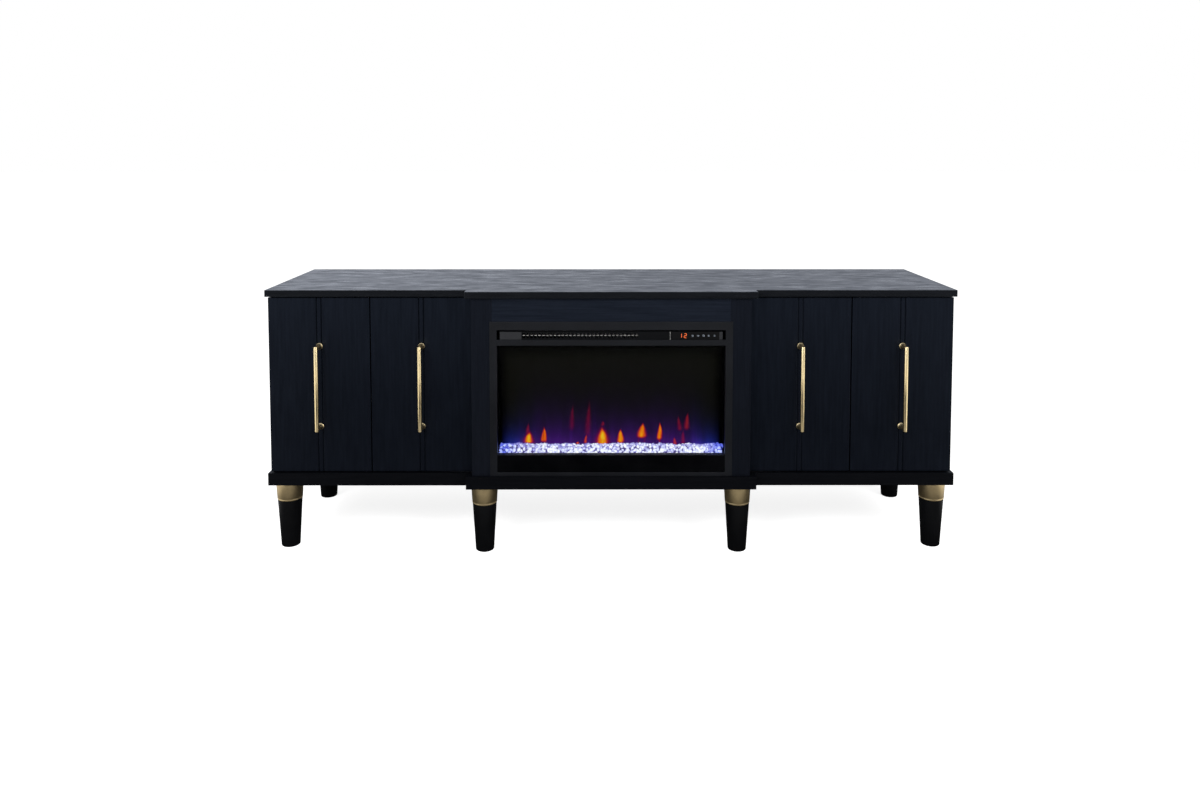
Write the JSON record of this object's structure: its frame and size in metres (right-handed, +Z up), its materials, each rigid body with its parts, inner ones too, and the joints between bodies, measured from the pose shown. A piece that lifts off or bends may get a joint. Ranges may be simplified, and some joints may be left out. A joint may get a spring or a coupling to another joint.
{
  "type": "fireplace media console",
  "caption": "Long low black cabinet with an electric fireplace in a stepped-out middle, grooved doors with bar pulls on each side, and tapered round legs with gold collars.",
  "frame": {"origin": "on the floor, under the middle of the whole outline", "axes": "+X to the right seen from the front, the front faces -Y, +Z up"},
  "size_m": [1.829, 0.45, 0.7],
  "materials": {
    "black_oak": "black stained oak grain, satin",
    "door_oak": "black stained upright oak grain, satin",
    "black_board": "black melamine board, matt",
    "back_board": "thin black fibreboard, matt",
    "leg_black": "black lacquer, satin",
    "pale_gold": "pale gold, satin",
    "antique_gold": "dark antique gold, satin",
    "hinge_steel": "nickel plated",
    "insert_frame": "black powder coat, fine texture",
    "black_sheet": "black sheet steel, matt",
    "control_gloss": "black gloss window with lit digits",
    "fire_glass": "clear tinted safety glass",
    "dark_steel": "plain rolled steel",
    "crystal": "clear cut glass lit blue and violet from below",
    "flame_film": "dark diffusing film"
  },
  "bodies": {
    "cabinet": {"top_panel": "black_oak", "base_frame": "black_oak", "bottom_panel": "black_board", "side_panel_left": "black_oak", "partition_left": "black_oak", "stile_left": "black_oak", "shelf_left": "black_board", "back_panel_left": "back_board", "side_panel_right": "black_oak", "partition_right": "black_oak", "stile_right": "black_oak", "shelf_right": "black_board", "back_panel_right": "back_board", "header_rail": "black_oak", "leg_front_left": "leg_black", "leg_collar_front_left": "antique_gold", "leg_centre_left": "leg_black", "leg_collar_centre_left": "antique_gold", "leg_centre_right": "leg_black", "leg_collar_centre_right": "antique_gold", "leg_front_right": "leg_black", "leg_collar_front_right": "antique_gold", "leg_rear_left": "leg_black", "leg_collar_rear_left": "antique_gold", "leg_rear_right": "leg_black", "leg_collar_rear_right": "antique_gold", "hinge_arm_left_outer_lower": "hinge_steel", "hinge_arm_left_outer_upper": "hinge_steel", "hinge_arm_left_inner_lower": "hinge_steel", "hinge_arm_left_inner_upper": "hinge_steel", "hinge_arm_right_inner_lower": "hinge_steel", "hinge_arm_right_inner_upper": "hinge_steel", "hinge_arm_right_outer_lower": "hinge_steel", "hinge_arm_right_outer_upper": "hinge_steel", "insert_front_frame": "insert_frame", "outlet_grille": "insert_frame", "insert_housing": "black_sheet", "control_panel": "control_gloss", "viewing_glass": "fire_glass", "heater_element": "dark_steel", "crystal_bed": "crystal", "flame_screen": "flame_film"},
    "door_left_outer_leaf": {"door_left_outer": "door_oak", "pull_left_outer": "pale_gold", "hinge_cup_left_outer_lower": "hinge_steel", "hinge_cup_left_outer_upper": "hinge_steel"},
    "door_left_inner_leaf": {"door_left_inner": "door_oak", "pull_left_inner": "pale_gold", "hinge_cup_left_inner_lower": "hinge_steel", "hinge_cup_left_inner_upper": "hinge_steel"},
    "door_right_inner_leaf": {"door_right_inner": "door_oak", "pull_right_inner": "pale_gold", "hinge_cup_right_inner_lower": "hinge_steel", "hinge_cup_right_inner_upper": "hinge_steel"},
    "door_right_outer_leaf": {"door_right_outer": "door_oak", "pull_right_outer": "pale_gold", "hinge_cup_right_outer_lower": "hinge_steel", "hinge_cup_right_outer_upper": "hinge_steel"},
    "blower": {"blower_wheel": "dark_steel"},
    "flame_rotor": {"flame_spindle": "dark_steel"}
  },
  "joints": [
    {"name": "door_left_outer_hinge", "type": "hinge", "parent": "cabinet", "child": "door_left_outer_leaf", "pos_m": [-0.908, -0.187, 0.445], "axis": [0, 0, -1], "range_deg": [0, 105]},
    {"name": "door_left_inner_hinge", "type": "hinge", "parent": "cabinet", "child": "door_left_inner_leaf", "pos_m": [-0.369, -0.187, 0.445], "axis": [0, 0, 1], "range_deg": [0, 90]},
    {"name": "door_right_inner_hinge", "type": "hinge", "parent": "cabinet", "child": "door_right_inner_leaf", "pos_m": [0.369, -0.187, 0.445], "axis": [0, 0, -1], "range_deg": [0, 90]},
    {"name": "door_right_outer_hinge", "type": "hinge", "parent": "cabinet", "child": "door_right_outer_leaf", "pos_m": [0.908, -0.187, 0.445], "axis": [0, 0, 1], "range_deg": [0, 105]},
    {"name": "blower_spin", "type": "hinge", "parent": "cabinet", "child": "blower", "pos_m": [-0.03, -0.121, 0.585], "axis": [1, 0, 0], "continuous": true},
    {"name": "flame_spin", "type": "hinge", "parent": "cabinet", "child": "flame_rotor", "pos_m": [0, -0.1065, 0.299], "axis": [1, 0, 0], "continuous": true}
  ]
}
